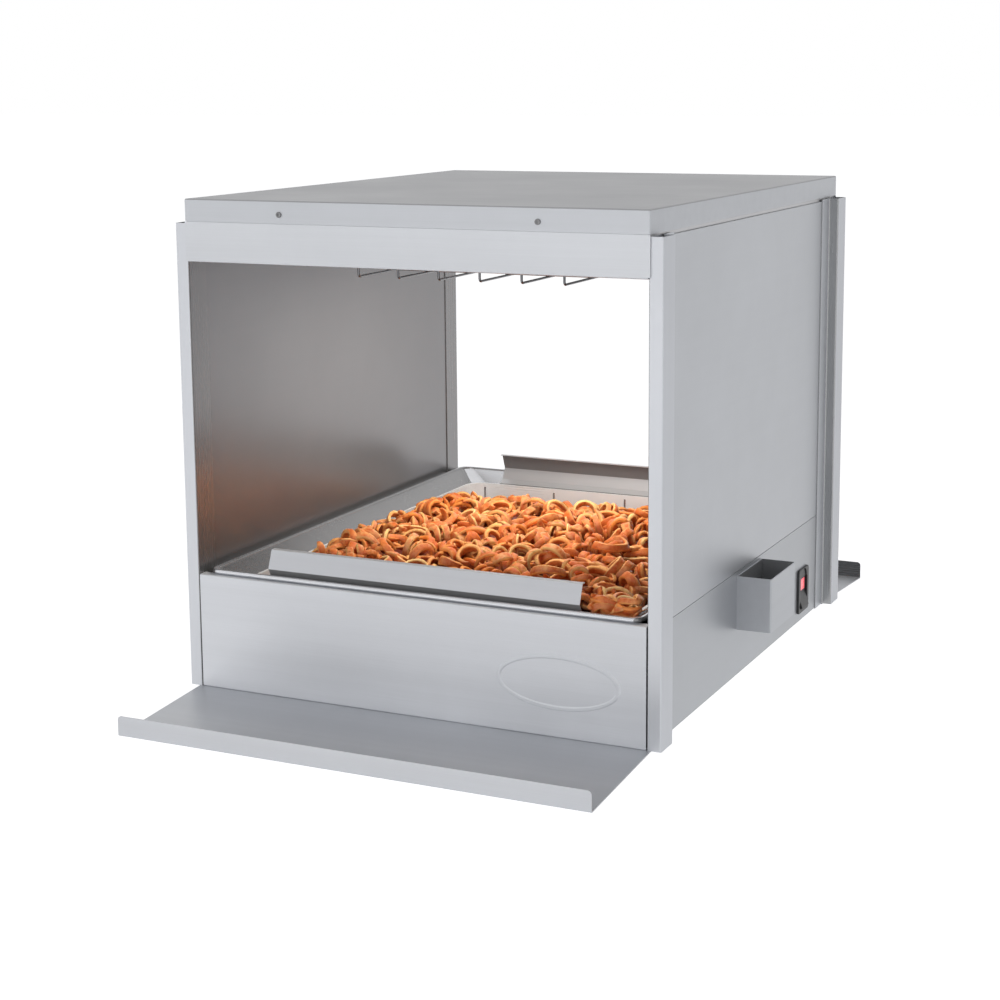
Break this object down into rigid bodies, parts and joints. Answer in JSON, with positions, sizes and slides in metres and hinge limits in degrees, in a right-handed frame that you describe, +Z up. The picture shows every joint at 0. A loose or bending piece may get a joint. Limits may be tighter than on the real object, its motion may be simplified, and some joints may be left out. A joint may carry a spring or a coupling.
{
  "type": "counter-top chip warmer",
  "caption": "Pass-through counter chip warmer: heated hood on corner posts over a lift-out food pan, with serving ledges front and rear and a side pocket.",
  "frame": {"origin": "on the counter under the middle of the outer box, ledges and side pocket included; the cabinet's own middle lies 15 mm to the left of it", "axes": "+X to the cabinet's right, seen from the front; +Y from the front ledge to the rear ledge; +Z up"},
  "size_m": [0.66, 1.066, 0.623],
  "materials": {
    "brushed_stainless": "satin, fine brushed grain along each panel",
    "pan_stainless": "pressed stainless, satin with polished edges",
    "plain_steel_sheet": "mill finish sheet",
    "bright_aluminium": "bright reflector sheet",
    "heater_foil": "foil, slightly creased",
    "screw_steel": "zinc plated",
    "bright_wire": "bright plated wire",
    "element_sheath": "heat-darkened sheath",
    "ceramic": "unglazed steatite",
    "black_plastic": "moulded, fine texture",
    "lit_lens": "translucent red, lit from behind",
    "terminal_brass": "tinned brass blades",
    "wiring_metal": "flexible metal conduit",
    "black_rubber": "matte moulded rubber",
    "lead_silicone": "silicone-insulated leads",
    "insulation": "mineral fibre mat",
    "fried_potato": "fried seasoned potato, lightly oiled"
  },
  "bodies": {
    "cabinet": {"base_bottom_plate": "plain_steel_sheet", "base_front_panel": "brushed_stainless", "base_heater_pad": "heater_foil", "base_leads": "lead_silicone", "base_rear_panel": "brushed_stainless", "base_side_left": "brushed_stainless", "base_side_right": "brushed_stainless", "base_terminal_block": "black_plastic", "base_thermostat": "black_plastic", "conduit_grommets": "black_rubber", "cord_gland": "black_plastic", "deck_insulation": "insulation", "deck_support_front": "plain_steel_sheet", "deck_support_rear": "plain_steel_sheet", "element_bushings": "ceramic", "element_clips": "screw_steel", "foot_front_left": "black_rubber", "foot_front_right": "black_rubber", "foot_rear_left": "black_rubber", "foot_rear_right": "black_rubber", "foot_screws": "screw_steel", "front_ledge": "brushed_stainless", "guard_screws": "screw_steel", "heater_deck": "plain_steel_sheet", "heater_housing_left": "bright_aluminium", "heater_housing_right": "bright_aluminium", "heating_element_left": "element_sheath", "heating_element_right": "element_sheath", "hood_front_fascia": "brushed_stainless", "hood_leads": "lead_silicone", "hood_rear_fascia": "brushed_stainless", "hood_screws": "screw_steel", "hood_soffit": "brushed_stainless", "hood_terminal_block": "black_plastic", "ledge_screws": "screw_steel", "pan_rail_left": "plain_steel_sheet", "pan_rail_right": "plain_steel_sheet", "pocket_screws": "screw_steel", "post_front_left": "brushed_stainless", "post_front_right": "brushed_stainless", "post_rear_left": "brushed_stainless", "post_rear_right": "brushed_stainless", "rear_ledge": "brushed_stainless", "side_panel_left": "brushed_stainless", "side_panel_right": "brushed_stainless", "side_pocket": "brushed_stainless", "switch_body": "black_plastic", "switch_terminals": "terminal_brass", "top_cover": "brushed_stainless", "wire_guard_left": "bright_wire", "wire_guard_right": "bright_wire", "wiring_conduit": "wiring_metal"},
    "rocker": {"rocker": "black_plastic", "rocker_lens": "lit_lens"},
    "pan": {"food_pan": "pan_stainless", "front_guard": "pan_stainless", "rear_guard": "pan_stainless"},
    "tray": {"pan_insert": "pan_stainless", "curly_chips": "fried_potato"}
  },
  "joints": [
    {"name": "rocker_tilt", "type": "hinge", "parent": "cabinet", "child": "rocker", "pos_m": [0.282, 0.229, 0.054], "axis": [0, 1, 0], "range_deg": [0, 16]},
    {"name": "pan_lift", "type": "slide", "parent": "cabinet", "child": "pan", "axis": [0, 0, 1], "range_m": [0, 0.11]},
    {"name": "tray_lift", "type": "slide", "parent": "pan", "child": "tray", "axis": [0, 0, 1], "range_m": [0, 0.09]}
  ]
}
